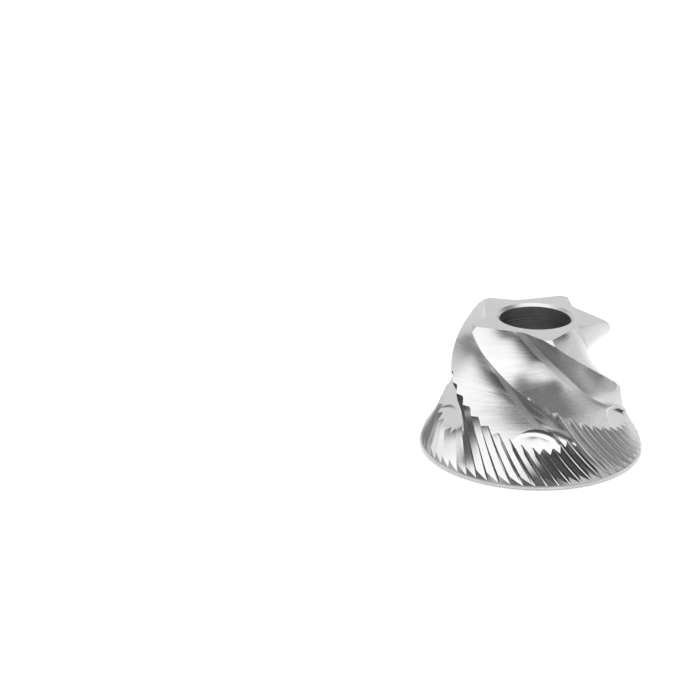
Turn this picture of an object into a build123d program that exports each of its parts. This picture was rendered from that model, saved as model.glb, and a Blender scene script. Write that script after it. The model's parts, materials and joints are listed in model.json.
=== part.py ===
"""Inner cone burr of a coffee grinder: a turned steel cone with five spiral feed
flutes above a flared band of saw teeth, bored through for the drive shaft.

Millimetres, +Z up along the shaft, origin at the centre of the flat underside.
"""

import os
from math import cos, radians, sin, sqrt

from build123d import *

# Overall sizes
base_diameter = 47.5
total_height = 29.3
bore_diameter = 15.0
bore_chamfer = 0.6

# Turned outside: rim, concave flare and crest cone
rim_height = 0.75
rim_under_chamfer = 0.3
rim_facet_height = 2.8
flare_arc_radius = 24.0
flare_centre_height = 17.0
flare_centre_from_rim = 18.75
flare_top_height = 12.5
top_diameter = 30.6
top_edge_chamfer = 0.9

# Feed flutes, left-hand helix
flute_count = 5
flute_lead = 70.6
flute_top_angle = -113.3
flute_top_depth = 4.9
flute_foot_depth = 6.9
flute_steep_angle = 27.3
crest_land_angle = 1.0
flute_root_strip = 1.8
flute_runout_height = 17.0
flute_runout_radius = 5.3
flute_lip_radius = 20.0
flute_runout_closing = 0.22
flute_end_height = 7.8
flute_sections = 14
flute_wall_reach = 1.15
flute_overrun = 1.0

# Pocket milled at the foot of each flute
pocket_diameter = 17.8
pocket_corner_radius = 4.0
pocket_corner_steps = 4
pocket_top_height = 10.5
pocket_lag_angle = 4.5
pocket_swing = 10.0
pocket_height = 5.85
pocket_standoff = 1.1
pocket_tilt = 30.0
pocket_cutter_length = 12.0

# Grinding teeth, slanted the same way as the flutes
tooth_count = 60
tooth_lead = 175.0
tooth_rim_angle = -140.5
tooth_depth = 0.9
tooth_full_depth_height = 14.0
tooth_runout_height = 17.8
tooth_steep_share = 0.35
tooth_root_flat = 0.25
groove_sections = 6
groove_overrun = 0.5

base_radius = base_diameter / 2
bore_radius = bore_diameter / 2
top_radius = top_diameter / 2


def flare_radius(height):
    """Radius of the concave flare that carries the teeth."""
    rise = height - flare_centre_height
    return base_radius + flare_centre_from_rim - sqrt(flare_arc_radius**2 - rise**2)


flare_foot_radius = flare_radius(rim_facet_height)
flare_top_radius = flare_radius(flare_top_height)
crest_height = total_height - flare_top_height


def crest_radius(height):
    """Radius of the plain cone that carries the flute crests."""
    return top_radius + (flare_top_radius - top_radius) * (total_height - height) / crest_height


def blank_radius(height):
    """Radius of the turned outside at a height above the rim."""
    if height < flare_top_height:
        return flare_radius(height)
    return crest_radius(height)


def flute_turn(height):
    """Angle of the middle of the first flute's root at a height."""
    return flute_top_angle + 360 * (total_height - height) / flute_lead


# Turned and bored blank before any milling
flare_middle_height = (rim_facet_height + flare_top_height) / 2
with BuildPart() as blank:
    with BuildSketch(Plane.XZ):
        with BuildLine():
            Polyline(
                (flare_top_radius, flare_top_height),
                (top_radius, total_height),
                (0, total_height),
                (0, 0),
                (base_radius - rim_under_chamfer, 0),
                (base_radius, rim_under_chamfer),
                (base_radius, rim_height),
                (flare_foot_radius, rim_facet_height),
            )
            ThreePointArc(
                (flare_foot_radius, rim_facet_height),
                (flare_radius(flare_middle_height), flare_middle_height),
                (flare_top_radius, flare_top_height),
            )
        make_face()
    revolve(axis=Axis.Z)
    chamfer(blank.edges().group_by(Axis.Z)[-1], length=top_edge_chamfer)
    Hole(bore_radius)
    chamfer(blank.edges(Select.LAST).filter_by(GeomType.CIRCLE), length=bore_chamfer)

# One flute cutter, lofted through level sections that turn and grow with the cone
flute_top = total_height + flute_overrun
flute_wide_angle = 360 / flute_count - crest_land_angle - flute_steep_angle
half_strip = flute_root_strip / 2
with BuildPart() as flute:
    for step in range(flute_sections):
        level = flute_top - (flute_top - flute_end_height) * step / (flute_sections - 1)
        below = max(flute_runout_height - level, 0)
        runout = below**2 / (2 * flute_runout_radius)
        lip_runout = below**2 / (2 * flute_lip_radius)
        deepening = (flute_foot_depth - flute_top_depth) * (total_height - level) / crest_height
        crest = crest_radius(level)
        root = crest - flute_top_depth - deepening + runout
        wide = radians(flute_wide_angle)
        steep = radians(flute_steep_angle - flute_runout_closing * below**2)
        wide_rise = crest * cos(wide) + lip_runout - root
        wide_run = crest * sin(wide) - half_strip
        steep_rise = crest * cos(steep) - root
        steep_run = crest * sin(steep) - half_strip
        wide_end = (root + flute_wall_reach * wide_rise, -half_strip - flute_wall_reach * wide_run)
        steep_end = (root + flute_wall_reach * steep_rise, half_strip + flute_wall_reach * steep_run)
        outside = crest + runout + flute_overrun
        with BuildSketch(Plane.XY.offset(level).rotated((0, 0, flute_turn(level)))):
            with BuildLine():
                Polyline(
                    (root, -half_strip),
                    wide_end,
                    (outside, wide_end[1]),
                    (outside, steep_end[1]),
                    steep_end,
                    (root, half_strip),
                    close=True,
                )
            make_face()
    loft()

# One pocket cutter: an end mill with its corner eased in steps, leaning out from the shaft
pocket_radius = pocket_diameter / 2
corner_inset = pocket_radius - pocket_corner_radius
corner_angles = [radians(90 * step / pocket_corner_steps) for step in range(pocket_corner_steps + 1)]
corner_points = [
    (corner_inset + pocket_corner_radius * sin(angle), pocket_corner_radius * (1 - cos(angle)))
    for angle in corner_angles
]
with BuildPart() as pocket:
    with BuildSketch(Plane.XZ):
        with BuildLine():
            Polyline(
                (0, pocket_cutter_length),
                (0, 0),
                *corner_points,
                (pocket_radius, pocket_cutter_length),
                close=True,
            )
        make_face()
    revolve(axis=Axis.Z)
pocket_place = (
    Rot(0, 0, flute_turn(pocket_top_height) - pocket_lag_angle)
    * Pos(flare_radius(pocket_height) + pocket_standoff, 0, pocket_height)
    * Rot(0, 0, pocket_swing)
    * Rot(0, pocket_tilt, 0)
)

# One tooth groove cutter, lofted from below the rim up the flare to where it runs out
tooth_pitch = 360 / tooth_count
groove_top = tooth_runout_height + groove_overrun
fade_height = tooth_runout_height - tooth_full_depth_height
with BuildPart() as groove:
    for step in range(groove_sections):
        level = groove_top * step / (groove_sections - 1) - groove_overrun
        turn = tooth_rim_angle + 360 * (rim_height - level) / tooth_lead
        depth = tooth_depth * min(1, (tooth_runout_height - level) / fade_height)
        tip = blank_radius(level) + groove_overrun
        root = blank_radius(level) - depth
        reach = (depth + groove_overrun) / tooth_depth
        steep = radians(tooth_pitch * tooth_steep_share) * reach
        gentle = radians(tooth_pitch * (1 - tooth_steep_share)) * reach
        with BuildSketch(Plane.XY.offset(level).rotated((0, 0, turn))):
            with BuildLine():
                Polyline(
                    (root, -tooth_root_flat / 2),
                    (root, tooth_root_flat / 2),
                    (tip * cos(steep), tip * sin(steep)),
                    (tip * cos(gentle), -tip * sin(gentle)),
                    close=True,
                )
            make_face()
    loft()

with BuildPart() as cone_burr:
    add(blank.part)
    with PolarLocations(0, flute_count):
        add(flute.part, mode=Mode.SUBTRACT)
    with PolarLocations(0, flute_count):
        add(pocket_place * pocket.part, mode=Mode.SUBTRACT)
    with PolarLocations(0, tooth_count):
        add(groove.part, mode=Mode.SUBTRACT)

os.makedirs("parts", exist_ok=True)
cone_burr.part.label = "cone_burr"
export_step(cone_burr.part, "parts/cone_burr.step")
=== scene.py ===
"""Looks of the inner cone burr of a coffee grinder: bright milled steel on a white table."""

import json
from math import cos, pi, radians, sin, sqrt, tan

import bmesh
import bpy
from mathutils import Matrix, Vector


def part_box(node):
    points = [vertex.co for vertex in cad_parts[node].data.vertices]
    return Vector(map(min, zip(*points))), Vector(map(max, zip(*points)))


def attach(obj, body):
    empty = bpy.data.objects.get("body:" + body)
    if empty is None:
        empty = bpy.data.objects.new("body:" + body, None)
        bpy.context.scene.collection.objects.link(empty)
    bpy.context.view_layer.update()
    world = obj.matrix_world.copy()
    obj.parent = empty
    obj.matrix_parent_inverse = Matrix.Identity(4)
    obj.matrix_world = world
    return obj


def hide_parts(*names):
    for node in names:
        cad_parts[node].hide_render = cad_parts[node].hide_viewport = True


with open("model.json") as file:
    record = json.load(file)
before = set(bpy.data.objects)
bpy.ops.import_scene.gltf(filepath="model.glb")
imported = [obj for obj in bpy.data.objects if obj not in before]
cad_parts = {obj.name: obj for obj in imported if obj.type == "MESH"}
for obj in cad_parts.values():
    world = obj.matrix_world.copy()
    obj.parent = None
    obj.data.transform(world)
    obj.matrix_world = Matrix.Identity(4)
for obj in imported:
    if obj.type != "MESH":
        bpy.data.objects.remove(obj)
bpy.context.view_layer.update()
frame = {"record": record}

# Overall sizes; the burr is made in millimetres, and its finished mesh is scaled to metres
MILLIMETRE = 0.001
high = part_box("cone_burr")[1]
base_radius = round(high.x / MILLIMETRE, 2)
total_height = round(high.z / MILLIMETRE, 2)
bore_mount = next(m for m in frame["record"]["mounts"] if m["name"] == "shaft_bore")
bore_radius = bore_mount["dims"]["r_mm"]
bore_chamfer = 0.6

# Turned outside: rim, concave flare and crest cone
rim_height = 0.75
rim_under_chamfer = 0.3
rim_facet_height = 2.8
flare_arc_radius = 24.0
flare_centre_height = 17.0
flare_centre_from_rim = 18.75
flare_top_height = 12.5
top_radius = 15.3
top_edge_chamfer = 0.9

# Feed flutes, left-hand helix
flute_count = 5
flute_lead = 70.6
flute_top_angle = -113.3
flute_top_depth = 4.9
flute_foot_depth = 6.9
flute_steep_angle = 27.3
crest_land_angle = 1.0
flute_root_strip = 1.8
flute_runout_height = 17.0
flute_runout_radius = 5.3
flute_lip_radius = 20.0
flute_runout_closing = 0.22
flute_end_height = 7.8
flute_wall_reach = 1.15
flute_overrun = 1.0

# Pocket milled at the foot of each flute, fitted closer to the photograph than in the solid
pocket_radius = 7.96
pocket_corner_radius = 2.5
pocket_top_height = 10.5
pocket_lag_angle = 4.2
pocket_swing = 7.5
pocket_height = 6.08
pocket_standoff = 0.69
pocket_tilt = 34.0
pocket_cutter_length = 12.0

# Grinding teeth, slanted the same way as the flutes; their grooves run out higher than in the solid
tooth_count = 60
tooth_lead = 175.0
tooth_rim_angle = -140.5
tooth_depth = 0.9
tooth_full_depth_height = 14.0
tooth_runout_height = 19.6
tooth_steep_share = 0.35
tooth_root_flat = 0.25
groove_overrun = 0.5
groove_rounds = 2

# Fineness of the mesh
turn_steps = 360
flare_steps = 28
flute_levels = 110
wide_wall_steps = 14
steep_wall_steps = 8
pocket_steps = 128
corner_steps = 16
groove_levels = 48
merge_distance = 0.0005
sharp_angle = radians(16)

# Marks and grey of the steel
pattern_low = 0.3
pattern_high = 0.7
marks_detail = 3
marks_roughness = 0.6
tone_scale = 160
tone_detail = 4
tone_roughness = 0.55
worn_edge_radius = 0.05
worn_edge_samples = 4
quarter_turn = 0.25

# Studio, in metres and degrees
table_half_width = 4
table_grey = 0.9
table_roughness = 0.9
table_glow = 0.27
room_light = 0.8
card_middle_height = 0.015
far_card_distance = 0.6
near_card_turn = -30
near_card_distance = 0.06
near_card_height = 0.001
near_card_half_size = (0.14, 0.07)
softbox_azimuth = 30
softbox_elevation = 72
softbox_distance = 0.62
camera_place = (-0.0411, -0.3675, 0.1657)
camera_tilt = 68.9


def flare_radius(height):
    """Radius of the concave flare that carries the teeth."""
    rise = height - flare_centre_height
    return base_radius + flare_centre_from_rim - sqrt(flare_arc_radius**2 - rise**2)


flare_top_radius = flare_radius(flare_top_height)
crest_height = total_height - flare_top_height


def crest_radius(height):
    """Radius of the plain cone that carries the flute crests."""
    return top_radius + (flare_top_radius - top_radius) * (total_height - height) / crest_height


def blank_radius(height):
    """Radius of the turned outside at a height above the rim."""
    if height < flare_top_height:
        return flare_radius(height)
    return crest_radius(height)


def flute_turn(height):
    """Angle of the middle of the first flute's root at a height."""
    return flute_top_angle + 360 * (total_height - height) / flute_lead


def tooth_turn(height):
    """Angle of the middle of the first groove's root at a height."""
    return tooth_rim_angle + 360 * (rim_height - height) / tooth_lead


def placed(name, data):
    """A new object in the scene."""
    piece = bpy.data.objects.new(name, data)
    bpy.context.scene.collection.objects.link(piece)
    return piece


def meshed(bm, name, materials):
    """A mesh object from a bmesh, which is freed, with its finishes."""
    mesh = bpy.data.meshes.new(name)
    bm.to_mesh(mesh)
    bm.free()
    for material in materials:
        mesh.materials.append(material)
    return placed(name, mesh)


def closed(bm, name, *materials):
    """A mesh object from a bmesh of a closed shape, merged and with its faces turned outwards."""
    bmesh.ops.remove_doubles(bm, verts=bm.verts[:], dist=merge_distance)
    bmesh.ops.recalc_face_normals(bm, faces=bm.faces[:])
    return meshed(bm, name, materials)


def spun(outline, steps):
    """A bmesh of a closed outline of (radius, height) points spun about the shaft."""
    bm = bmesh.new()
    corners = [bm.verts.new((radius, 0, height)) for radius, height in outline]
    sides = [bm.edges.new((corners[i - 1], corners[i])) for i in range(len(corners))]
    bmesh.ops.spin(
        bm, geom=corners + sides, axis=(0, 0, 1), cent=(0, 0, 0),
        angle=2 * pi, steps=steps, use_merge=True,
    )
    return bm


def extruded(sections):
    """A bmesh of a closed bar extruded through sections with equal numbers of points."""
    bm = bmesh.new()
    face = bm.faces.new([bm.verts.new(point) for point in sections[0]])
    for section in sections[1:]:
        grown = bmesh.ops.extrude_face_region(bm, geom=[face])["geom"]
        old, face = face, next(part for part in grown if isinstance(part, bmesh.types.BMFace))
        for vert, point in zip(face.verts, section):
            vert.co = point
        if section is not sections[1]:
            bm.faces.remove(old)
    return bm


def turned(points, angle, height):
    """Level (radius, sideways) points turned about the shaft by an angle in degrees."""
    turn = Matrix.Rotation(radians(angle), 3, "Z")
    return [turn @ Vector((radius, sideways, height)) for radius, sideways in points]


def between(start, end, steps):
    """Points from the start up to, but without, the end."""
    return [
        (start[0] + (end[0] - start[0]) * i / steps, start[1] + (end[1] - start[1]) * i / steps)
        for i in range(steps)
    ]


def turned_blank(material):
    """The turned and bored cone before any milling."""
    flare_span = flare_top_height - rim_facet_height
    flare_heights = [
        rim_facet_height + flare_span * i / flare_steps for i in range(flare_steps + 1)
    ]
    crest_slope = (flare_top_radius - top_radius) / crest_height
    outline = [
        (bore_radius + bore_chamfer, 0),
        (base_radius - rim_under_chamfer, 0),
        (base_radius, rim_under_chamfer),
        (base_radius, rim_height),
        *[(flare_radius(height), height) for height in flare_heights],
        (top_radius + crest_slope * top_edge_chamfer, total_height - top_edge_chamfer),
        (top_radius - top_edge_chamfer, total_height),
        (bore_radius + bore_chamfer, total_height),
        (bore_radius, total_height - bore_chamfer),
        (bore_radius, bore_chamfer),
    ]
    return closed(spun(outline, turn_steps), "cone_burr_finish", material)


def flute_section(level):
    """Points of a flute cutter's level section."""
    half_strip = flute_root_strip / 2
    below = max(flute_runout_height - level, 0)
    runout = below**2 / (2 * flute_runout_radius)
    lip_runout = below**2 / (2 * flute_lip_radius)
    deepening = (flute_foot_depth - flute_top_depth) * (total_height - level) / crest_height
    crest = crest_radius(level)
    root = crest - flute_top_depth - deepening + runout
    wide = radians(360 / flute_count - crest_land_angle - flute_steep_angle)
    steep = radians(flute_steep_angle - flute_runout_closing * below**2)
    wide_rise = crest * cos(wide) + lip_runout - root
    wide_run = crest * sin(wide) - half_strip
    steep_rise = crest * cos(steep) - root
    steep_run = crest * sin(steep) - half_strip
    wide_end = (root + flute_wall_reach * wide_rise, -half_strip - flute_wall_reach * wide_run)
    steep_end = (root + flute_wall_reach * steep_rise, half_strip + flute_wall_reach * steep_run)
    outside = crest + runout + flute_overrun
    points = [
        *between((root, -half_strip), wide_end, wide_wall_steps),
        wide_end,
        (outside, wide_end[1]),
        (outside, steep_end[1]),
        *between(steep_end, (root, half_strip), steep_wall_steps),
        (root, half_strip),
    ]
    return turned(points, flute_turn(level), level)


def flute_cutter(wall_material, root_material):
    """A bar that turns and grows with the cone; its narrow root face has a finish of its own."""
    top = total_height + flute_overrun
    levels = [top - (top - flute_end_height) * i / flute_levels for i in range(flute_levels + 1)]
    bm = extruded([flute_section(level) for level in levels])
    for face in bm.faces:
        middle = face.calc_center_median()
        unturned = Matrix.Rotation(radians(-flute_turn(middle.z)), 3, "Z") @ middle
        if abs(unturned.y) < flute_root_strip / 4 and unturned.x < crest_radius(middle.z):
            face.material_index = 1
    return closed(bm, "flute_cutter", wall_material, root_material)


def pocket_cutter(material):
    """An end mill with a rounded corner, leaning out from the shaft."""
    inset = pocket_radius - pocket_corner_radius
    corner = [radians(90 * i / corner_steps) for i in range(corner_steps + 1)]
    outline = [
        (0, pocket_cutter_length),
        (0, 0),
        *[
            (inset + pocket_corner_radius * sin(angle), pocket_corner_radius * (1 - cos(angle)))
            for angle in corner
        ],
        (pocket_radius, pocket_cutter_length),
    ]
    bm = spun(outline, pocket_steps)
    place = (
        Matrix.Rotation(radians(flute_turn(pocket_top_height) - pocket_lag_angle), 4, "Z")
        @ Matrix.Translation((flare_radius(pocket_height) + pocket_standoff, 0, pocket_height))
        @ Matrix.Rotation(radians(pocket_swing), 4, "Z")
        @ Matrix.Rotation(radians(pocket_tilt), 4, "Y")
    )
    bmesh.ops.transform(bm, matrix=place, verts=bm.verts[:])
    return closed(bm, "pocket_cutter", material)


def groove_section(level):
    """Points of a tooth groove cutter's level section."""
    tooth_pitch = 360 / tooth_count
    fade_height = tooth_runout_height - tooth_full_depth_height
    depth = tooth_depth * min(1, (tooth_runout_height - level) / fade_height)
    tip = blank_radius(level) + groove_overrun
    root = blank_radius(level) - depth
    reach = (depth + groove_overrun) / tooth_depth
    steep = radians(tooth_pitch * tooth_steep_share) * reach
    gentle = radians(tooth_pitch * (1 - tooth_steep_share)) * reach
    points = [
        (root, -tooth_root_flat / 2),
        (root, tooth_root_flat / 2),
        (tip * cos(steep), tip * sin(steep)),
        (tip * cos(gentle), -tip * sin(gentle)),
    ]
    return turned(points, tooth_turn(level), level)


def groove_cutter(material):
    """A bar with the section of the gap between two teeth, from below the rim to its runout."""
    top = tooth_runout_height + groove_overrun
    levels = [top * i / groove_levels - groove_overrun for i in range(groove_levels + 1)]
    bm = extruded([groove_section(level) for level in levels])
    return closed(bm, "groove_cutter", material)


def repeated(cutter, angles):
    """The cutter repeated at angles about the shaft, as one object."""
    bm = bmesh.new()
    for angle in angles:
        start = len(bm.verts)
        bm.from_mesh(cutter.data)
        bm.verts.ensure_lookup_table()
        turn = Matrix.Rotation(radians(angle), 3, "Z")
        bmesh.ops.rotate(bm, verts=bm.verts[start:], cent=(0, 0, 0), matrix=turn)
    return closed(bm, cutter.name + "_set", *cutter.data.materials)


def cut(piece, cutter):
    """Cut the cutter's shape out of the piece; the cut faces keep the cutter's finish."""
    difference = piece.modifiers.new("cut", "BOOLEAN")
    difference.operation = "DIFFERENCE"
    difference.solver = "MANIFOLD"
    difference.material_mode = "TRANSFER"
    difference.object = cutter
    bpy.context.view_layer.objects.active = piece
    bpy.ops.object.modifier_apply(modifier=difference.name)


def mill(piece, cutter, count, rounds):
    """Cut at even angles about the shaft, in rounds whose cutters stay clear of each other."""
    for first in range(rounds):
        angles = [360 * i / count for i in range(first, count, rounds)]
        tool = repeated(cutter, angles)
        cut(piece, tool)
        bpy.data.objects.remove(tool)
    bpy.data.objects.remove(cutter)


def take_out_spare_points(bm):
    """Take out the points that a cut leaves along an edge between only two faces."""
    spare = [vert for vert in bm.verts if len(vert.link_edges) == 2]
    bmesh.ops.dissolve_verts(bm, verts=spare)


def finish_top_and_bore(bm, finishes):
    """Give what is left of the turned top and the bore a finish of their own."""
    for face in bm.faces:
        if finishes[face.material_index] != "turned_steel":
            continue
        middle = face.calc_center_median()
        if middle.to_2d().length < bore_radius + merge_distance:
            face.material_index = finishes.index("bore_steel")
        elif middle.z > total_height - top_edge_chamfer:
            face.material_index = finishes.index("top_steel")


def put(socket, value):
    """Set a socket to a constant, or link another socket to it."""
    if isinstance(value, bpy.types.NodeSocket):
        socket.id_data.links.new(value, socket)
    else:
        socket.default_value = value


def add(tree, kind, properties=(), **inputs):
    """A new node in a tree, with its properties and named inputs."""
    new = tree.nodes.new(kind)
    for name, value in properties:
        setattr(new, name, value)
    for name, value in inputs.items():
        put(new.inputs[name.replace("_", " ")], value)
    return new


def maths(tree, operation, *values):
    """The result of a maths node on numbers or sockets."""
    new = add(tree, "ShaderNodeMath", [("operation", operation)])
    for socket, value in zip(new.inputs, values):
        put(socket, value)
    return new.outputs[0]


def own_place(tree):
    """The place of a point in its object's own frame."""
    return add(tree, "ShaderNodeTexCoord").outputs["Object"]


def marks_noise(tree, pattern):
    """The noise that draws a tool's marks, on coordinates that are already stretched."""
    noise = add(
        tree, "ShaderNodeTexNoise", Vector=pattern, Scale=1,
        Detail=marks_detail, Roughness=marks_roughness,
    )
    return noise.outputs[0]


def number_group(name, inputs, output):
    """A node group with number inputs and one number output, and its two end nodes."""
    tree = bpy.data.node_groups.new(name, "ShaderNodeTree")
    for label in inputs:
        tree.interface.new_socket(label, in_out="INPUT", socket_type="NodeSocketFloat")
    tree.interface.new_socket(output, in_out="OUTPUT", socket_type="NodeSocketFloat")
    return tree, tree.nodes.new("NodeGroupInput"), tree.nodes.new("NodeGroupOutput")


def lay_lines_group():
    """Cutter marks: lines that are drawn out by having more marks to the metre on some axes."""
    tree, given, result = number_group("lay_lines", ["Across X", "Across Y", "Across Z"], "Marks")
    across_x, across_y, across_z = given.outputs[:3]
    scale = add(tree, "ShaderNodeCombineXYZ", X=across_x, Y=across_y, Z=across_z)
    stretched = add(tree, "ShaderNodeVectorMath", [("operation", "MULTIPLY")])
    put(stretched.inputs[0], own_place(tree))
    put(stretched.inputs[1], scale.outputs[0])
    put(result.inputs[0], marks_noise(tree, stretched.outputs[0]))
    return tree


def tooth_lines_group():
    """Grinding marks along the slant of the teeth: lines to the turn, and breaks to the metre."""
    tree, given, result = number_group("tooth_lines", ["Lines", "Breaks"], "Marks")
    lines, breaks = given.outputs[:2]
    split = add(tree, "ShaderNodeSeparateXYZ", Vector=own_place(tree))
    angle = maths(tree, "ARCTAN2", split.outputs["Y"], split.outputs["X"])
    turns = maths(tree, "DIVIDE", angle, 2 * pi)
    slant = maths(tree, "DIVIDE", split.outputs["Z"], tooth_lead * MILLIMETRE)
    across = maths(tree, "MULTIPLY", maths(tree, "ADD", turns, slant), lines)
    along = maths(tree, "MULTIPLY", split.outputs["Z"], breaks)
    grid = add(tree, "ShaderNodeCombineXYZ", X=across, Y=along)
    put(result.inputs[0], marks_noise(tree, grid.outputs[0]))
    return tree


def steel_tone_group():
    """Grey of the steel: it varies a little over the piece, as oil and handling leave it."""
    tree, given, result = number_group("steel_tone", ["Dark", "Light"], "Grey")
    dark, light = given.outputs[:2]
    noise = add(
        tree, "ShaderNodeTexNoise", Vector=own_place(tree), Scale=tone_scale,
        Detail=tone_detail, Roughness=tone_roughness,
    )
    grey = add(
        tree, "ShaderNodeMapRange", Value=noise.outputs[0],
        From_Min=pattern_low, From_Max=pattern_high, To_Min=dark, To_Max=light,
    )
    put(result.inputs[0], grey.outputs[0])
    return tree


lay_lines = lay_lines_group()
tooth_lines = tooth_lines_group()
steel_tone = steel_tone_group()


def steel(name, lines, closeness, greys, roughness, relief, anisotropy=0.0):
    """Bright steel with a tool's marks: closeness feeds their group, relief is in millimetres."""
    material = bpy.data.materials.new(name)
    material.use_nodes = True
    tree = material.node_tree
    shader = tree.nodes["Principled BSDF"]
    tone = add(
        tree, "ShaderNodeGroup", [("node_tree", steel_tone)], Dark=greys[0], Light=greys[1],
    )
    marks = add(tree, "ShaderNodeGroup", [("node_tree", lines)])
    for socket, value in zip(marks.inputs, closeness):
        socket.default_value = value
    gloss = add(
        tree, "ShaderNodeMapRange", Value=marks.outputs[0],
        From_Min=pattern_low, From_Max=pattern_high, To_Min=roughness[0], To_Max=roughness[1],
    )
    worn_edge = add(
        tree, "ShaderNodeBevel", [("samples", worn_edge_samples)],
        Radius=worn_edge_radius * MILLIMETRE,
    )
    bump = add(
        tree, "ShaderNodeBump", Height=marks.outputs[0], Strength=1.0,
        Distance=relief * MILLIMETRE, Normal=worn_edge.outputs[0],
    )
    put(shader.inputs["Base Color"], tone.outputs[0])
    put(shader.inputs["Roughness"], gloss.outputs[0])
    put(shader.inputs["Normal"], bump.outputs[0])
    shader.inputs["Metallic"].default_value = 1
    shader.inputs["Anisotropic"].default_value = anisotropy
    shader.inputs["Anisotropic Rotation"].default_value = quarter_turn
    return material


# Finishes of the burr
turned_steel = steel(
    "turned_steel", lay_lines, closeness=(150, 150, 4000),
    greys=(0.56, 0.62), roughness=(0.22, 0.32), relief=0.001,
)
flute_steel = steel(
    "flute_steel", lay_lines, closeness=(130, 130, 3000),
    greys=(0.58, 0.63), roughness=(0.2, 0.3), relief=0.016, anisotropy=0.7,
)
root_steel = steel(
    "root_steel", lay_lines, closeness=(900, 900, 300),
    greys=(0.6, 0.66), roughness=(0.45, 0.55), relief=0.004,
)
pocket_steel = steel(
    "pocket_steel", lay_lines, closeness=(300, 300, 1500),
    greys=(0.58, 0.63), roughness=(0.14, 0.2), relief=0.001,
)
tooth_steel = steel(
    "tooth_steel", tooth_lines, closeness=(420, 120),
    greys=(0.56, 0.62), roughness=(0.1, 0.2), relief=0.0015,
)
top_steel = steel(
    "top_steel", lay_lines, closeness=(250, 7000, 1000),
    greys=(0.55, 0.6), roughness=(0.3, 0.42), relief=0.001,
)
bore_steel = steel(
    "bore_steel", lay_lines, closeness=(60, 60, 2600),
    greys=(0.54, 0.62), roughness=(0.24, 0.36), relief=0.02,
)

# The burr: turned, milled, cleaned and scaled to metres
burr = turned_blank(turned_steel)
mill(burr, flute_cutter(flute_steel, root_steel), flute_count, rounds=flute_count)
mill(burr, pocket_cutter(pocket_steel), flute_count, rounds=flute_count)
mill(burr, groove_cutter(tooth_steel), tooth_count, rounds=groove_rounds)
burr.data.materials.append(top_steel)
burr.data.materials.append(bore_steel)
bm = bmesh.new()
bm.from_mesh(burr.data)
bmesh.ops.remove_doubles(bm, verts=bm.verts[:], dist=merge_distance)
take_out_spare_points(bm)
finish_top_and_bore(bm, [material.name for material in burr.data.materials])
bmesh.ops.scale(bm, vec=(MILLIMETRE, MILLIMETRE, MILLIMETRE), verts=bm.verts[:])
bm.to_mesh(burr.data)
bm.free()
burr.data.shade_smooth()
burr.data.set_sharp_from_angle(angle=sharp_angle)
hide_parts("cone_burr")
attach(burr, "root")


def seen_directly(tree):
    """One for rays from the camera, and for those that metal and glass send on; else nought."""
    path = add(tree, "ShaderNodeLightPath")
    seen = maths(tree, "ADD", path.outputs["Is Camera Ray"], path.outputs["Is Glossy Ray"])
    return maths(tree, "MINIMUM", maths(tree, "ADD", seen, path.outputs["Is Transmission Ray"]), 1)


def sheet(name, material):
    """A flat square, two units across, for the table and the cards."""
    bm = bmesh.new()
    bmesh.ops.create_grid(bm, x_segments=1, y_segments=1, size=1)
    piece = meshed(bm, name, [material])
    return piece


# White table
white = bpy.data.materials.new("white_table")
white.use_nodes = True
paint = white.node_tree.nodes["Principled BSDF"]
paint.inputs["Base Color"].default_value = (table_grey, table_grey, table_grey, 1)
paint.inputs["Roughness"].default_value = table_roughness
paint.inputs["Specular IOR Level"].default_value = 0
paint.inputs["Emission Color"].default_value = (1, 1, 1, 1)
glow = maths(white.node_tree, "MULTIPLY", seen_directly(white.node_tree), table_glow)
put(paint.inputs["Emission Strength"], glow)
table = sheet("table", white)
table.scale = (table_half_width, table_half_width, 1)

# White room: full white where it is seen, and dimmer as a light
world = bpy.data.worlds.new("white_room")
world.use_nodes = True
room = world.node_tree.nodes["Background"]
room.inputs["Color"].default_value = (1, 1, 1, 1)
seen = seen_directly(world.node_tree)
strength = maths(world.node_tree, "MULTIPLY_ADD", seen, 1 - room_light, room_light)
put(room.inputs["Strength"], strength)
bpy.context.scene.world = world


def card_material(name, brightness, softness):
    """A plain grey or glow that fades out towards the edges of its sheet."""
    material = bpy.data.materials.new(name)
    material.use_nodes = True
    tree = material.node_tree
    tree.nodes.clear()
    split = add(tree, "ShaderNodeSeparateXYZ", Vector=own_place(tree))
    fades = []
    for axis in "XY":
        away = maths(tree, "ABSOLUTE", split.outputs[axis])
        fade = add(
            tree, "ShaderNodeMapRange", [("interpolation_type", "SMOOTHSTEP")], Value=away,
            From_Min=1 - softness, From_Max=1, To_Min=1, To_Max=0,
        )
        fades.append(fade.outputs[0])
    clear = add(tree, "ShaderNodeBsdfTransparent")
    grey = add(tree, "ShaderNodeEmission", Color=(brightness, brightness, brightness, 1))
    mix = add(tree, "ShaderNodeMixShader", Fac=maths(tree, "MULTIPLY", *fades))
    put(mix.inputs[1], clear.outputs[0])
    put(mix.inputs[2], grey.outputs[0])
    add(tree, "ShaderNodeOutputMaterial", Surface=mix.outputs[0])
    return material


def direction(azimuth, elevation):
    """Unit vector; azimuth 0 points at the viewer and 90 to the right."""
    turn, rise = radians(azimuth), radians(elevation)
    return Vector((sin(turn) * cos(rise), -cos(turn) * cos(rise), sin(rise)))


def card(name, brightness, softness):
    """A studio card, dark or bright, that shows in reflections only."""
    piece = sheet(name, card_material(name, brightness, softness))
    piece.visible_camera = False
    piece.visible_diffuse = False
    piece.visible_shadow = False
    return piece


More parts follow.
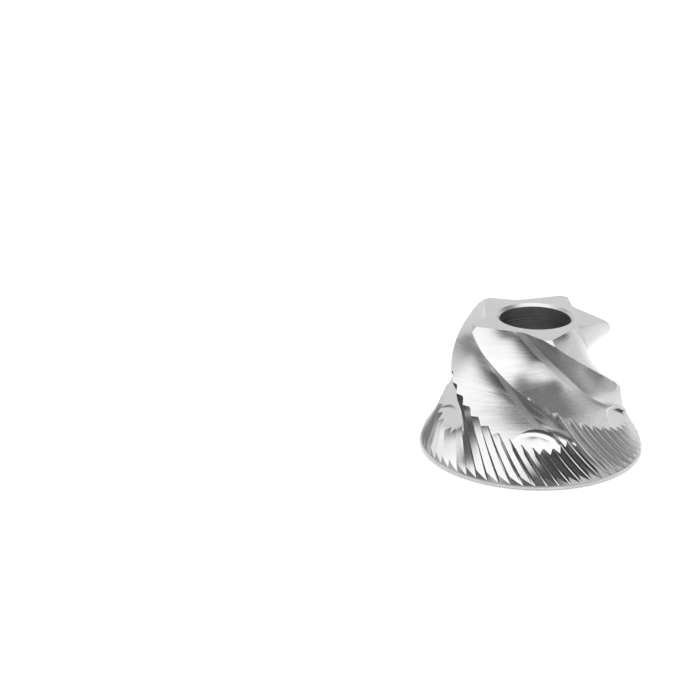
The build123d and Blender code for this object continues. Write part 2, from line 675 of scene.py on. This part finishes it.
def standing_card(name, place, half_size, brightness, softness, distance=far_card_distance):
    """A card that faces the burr; its place and half sizes are angles as seen from the burr."""
    piece = card(name, brightness, softness)
    way = direction(*place)
    half_width, half_height = [distance * tan(radians(angle)) for angle in half_size]
    piece.location = Vector((0, 0, card_middle_height)) + way * distance
    piece.rotation_euler = way.to_track_quat("Z", "Y").to_euler()
    piece.scale = (half_width, half_height, 1)


# Studio cards far from the burr
standing_card("right_card", (95, 33), (27, 27), brightness=0.1, softness=0.3)
standing_card("left_card", (-77, 22), (36, 15), brightness=0.2, softness=0.5)
standing_card("left_window_card", (-62, 49), (27, 11), brightness=1.5, softness=0.5)
standing_card("left_rear_card", (-114, 32), (14, 16), brightness=0.3, softness=0.4)
standing_card("window_card", (58, 33), (17, 20), brightness=1.6, softness=0.5)

# Studio cards close to the burr, which show in its low parts and not in its upper flutes
standing_card("left_front_card", (-53, 8), (17, 24), brightness=0.08, softness=0.25, distance=0.06)
standing_card("camera_card", (-32, 35), (9, 12), brightness=0.1, softness=0.25, distance=0.068)
standing_card("lens_card", (-2, 8), (28, 24), brightness=0.1, softness=0.15, distance=0.065)

# Card that lies on the table in front of the burr
near_card = card("near_card", brightness=0.55, softness=0.15)
near_card.location = (
    direction(near_card_turn, 0) * near_card_distance + Vector((0, 0, near_card_height))
)
near_card.rotation_euler = (0, 0, radians(near_card_turn))
near_card.scale = (*near_card_half_size, 1)

# Softbox
softbox_way = direction(softbox_azimuth, softbox_elevation)
lamp_data = bpy.data.lights.new("softbox", "AREA")
lamp_data.shape = "RECTANGLE"
lamp_data.size = 0.85
lamp_data.size_y = 0.8
lamp_data.energy = 1.4
lamp = placed("softbox", lamp_data)
lamp.location = softbox_way * softbox_distance
lamp.rotation_euler = softbox_way.to_track_quat("Z", "Y").to_euler()

# Camera fitted to the photograph
camera_data = bpy.data.cameras.new("camera")
camera_data.sensor_width = 36
camera_data.lens = 98.6
camera_data.clip_start = 0.01
camera = placed("camera", camera_data)
camera.location = camera_place
camera.rotation_euler = (radians(camera_tilt), 0, 0)
bpy.context.scene.camera = camera
bpy.context.scene.view_settings.view_transform = "Standard"
